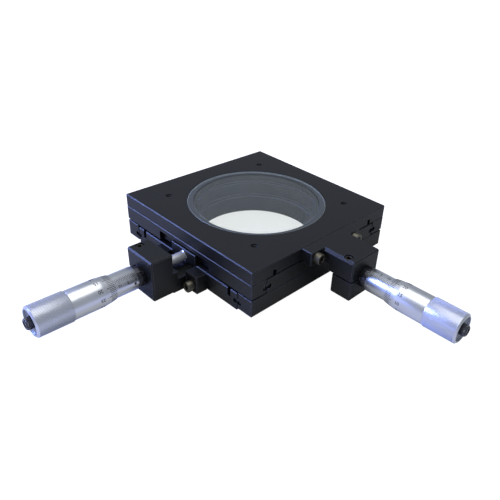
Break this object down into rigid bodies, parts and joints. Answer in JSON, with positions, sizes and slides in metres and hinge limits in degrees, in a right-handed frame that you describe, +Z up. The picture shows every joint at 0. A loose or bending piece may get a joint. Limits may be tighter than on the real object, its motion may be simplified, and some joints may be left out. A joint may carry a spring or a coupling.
{
  "type": "xy micrometer stage",
  "caption": "Low-profile XY translation stage: stacked crossed-roller slides, a round glazed aperture and a micrometer head on each axis.",
  "frame": {"origin": "centre of the base plate's underside, with both axes at mid-travel", "axes": "+Z up out of the window; +X towards the upper axis's micrometer head; -Y towards the lower axis's micrometer head"},
  "size_m": [0.224, 0.224, 0.0327],
  "materials": {
    "black_anodise": "satin black anodised",
    "satin_chrome": "satin chrome plated",
    "ground_steel": "ground and polished",
    "screw_steel": "plain steel",
    "black_steel": "black oxide",
    "cage_brass": "machined",
    "spring_steel": "drawn wire",
    "clear_glass": "polished"
  },
  "bodies": {
    "base": {"base_plate": "black_anodise", "base_stop_screws": "screw_steel", "y_bracket": "black_anodise", "y_bracket_screws": "screw_steel", "y_clamp_screw": "screw_steel", "y_spring_fixed_pin": "ground_steel", "y_barrel": "satin_chrome", "y_lock_collar": "black_steel", "y_thread_nut": "cage_brass"},
    "y_cages": {"y_roller_cages": "cage_brass", "y_crossed_rollers": "ground_steel"},
    "y_carriage": {"middle_plate": "black_anodise", "left_lower_rail": "black_anodise", "right_lower_rail": "black_anodise", "lower_rail_screws": "screw_steel", "lower_rail_stop_screws": "screw_steel", "middle_stop_screws": "screw_steel", "y_drive_tab": "black_anodise", "y_drive_tab_screws": "screw_steel", "y_anvil": "ground_steel", "x_anvil": "ground_steel", "y_spring_moving_pin": "ground_steel", "x_spring_fixed_pin": "ground_steel", "y_return_spring": "spring_steel"},
    "x_cages": {"x_roller_cages": "cage_brass", "x_crossed_rollers": "ground_steel"},
    "x_carriage": {"top_plate": "black_anodise", "rear_upper_rail": "black_anodise", "front_upper_rail": "black_anodise", "upper_rail_screws": "screw_steel", "upper_rail_stop_screws": "screw_steel", "window_glass": "clear_glass", "x_bracket": "black_anodise", "x_bracket_screws": "screw_steel", "x_clamp_screw": "screw_steel", "x_spring_moving_pin": "ground_steel", "x_return_spring": "spring_steel", "x_barrel": "satin_chrome", "x_lock_collar": "black_steel", "x_thread_nut": "cage_brass"},
    "x_thimble": {"x_spindle": "ground_steel", "x_thimble": "satin_chrome", "x_thimble_nut": "black_steel", "x_thimble_end_cap": "satin_chrome", "x_ratchet_screw": "black_steel", "x_ratchet_spring": "spring_steel"},
    "x_ratchet": {"x_ratchet_knob": "black_steel"},
    "y_thimble": {"y_spindle": "ground_steel", "y_thimble": "satin_chrome", "y_thimble_nut": "black_steel", "y_thimble_end_cap": "satin_chrome", "y_ratchet_screw": "black_steel", "y_ratchet_spring": "spring_steel"},
    "y_ratchet": {"y_ratchet_knob": "black_steel"}
  },
  "joints": [
    {"name": "y_slide", "type": "slide", "parent": "base", "child": "y_carriage", "axis": [0, 1, 0], "range_m": [-0.0125, 0.0125], "deforming": ["y_return_spring"]},
    {"name": "y_cage_slide", "type": "slide", "parent": "base", "child": "y_cages", "axis": [0, 1, 0], "range_m": [-0.00625, 0.00625]},
    {"name": "x_slide", "type": "slide", "parent": "y_carriage", "child": "x_carriage", "axis": [1, 0, 0], "range_m": [-0.0125, 0.0125], "deforming": ["x_return_spring"]},
    {"name": "x_cage_slide", "type": "slide", "parent": "y_carriage", "child": "x_cages", "axis": [1, 0, 0], "range_m": [-0.00625, 0.00625]},
    {"name": "y_thimble_spin", "type": "hinge", "parent": "y_carriage", "child": "y_thimble", "pos_m": [0, -0.12, 0.01384], "axis": [0, -1, 0], "range_deg": [-9000, 9000]},
    {"name": "x_thimble_spin", "type": "hinge", "parent": "y_carriage", "child": "x_thimble", "pos_m": [0.12, 0, 0.01891], "axis": [1, 0, 0], "range_deg": [-9000, 9000]},
    {"name": "y_ratchet_spin", "type": "hinge", "parent": "y_thimble", "child": "y_ratchet", "pos_m": [0, -0.159, 0.01384], "axis": [0, -1, 0], "continuous": true},
    {"name": "x_ratchet_spin", "type": "hinge", "parent": "x_thimble", "child": "x_ratchet", "pos_m": [0.159, 0, 0.01891], "axis": [1, 0, 0], "continuous": true}
  ],
  "couplings": [
    {"joint": "y_thimble_spin", "follows": "y_slide", "rad_per_m": -12566},
    {"joint": "y_cage_slide", "follows": "y_slide", "ratio": 0.5},
    {"joint": "x_thimble_spin", "follows": "x_slide", "rad_per_m": -12566},
    {"joint": "x_cage_slide", "follows": "x_slide", "ratio": 0.5}
  ]
}
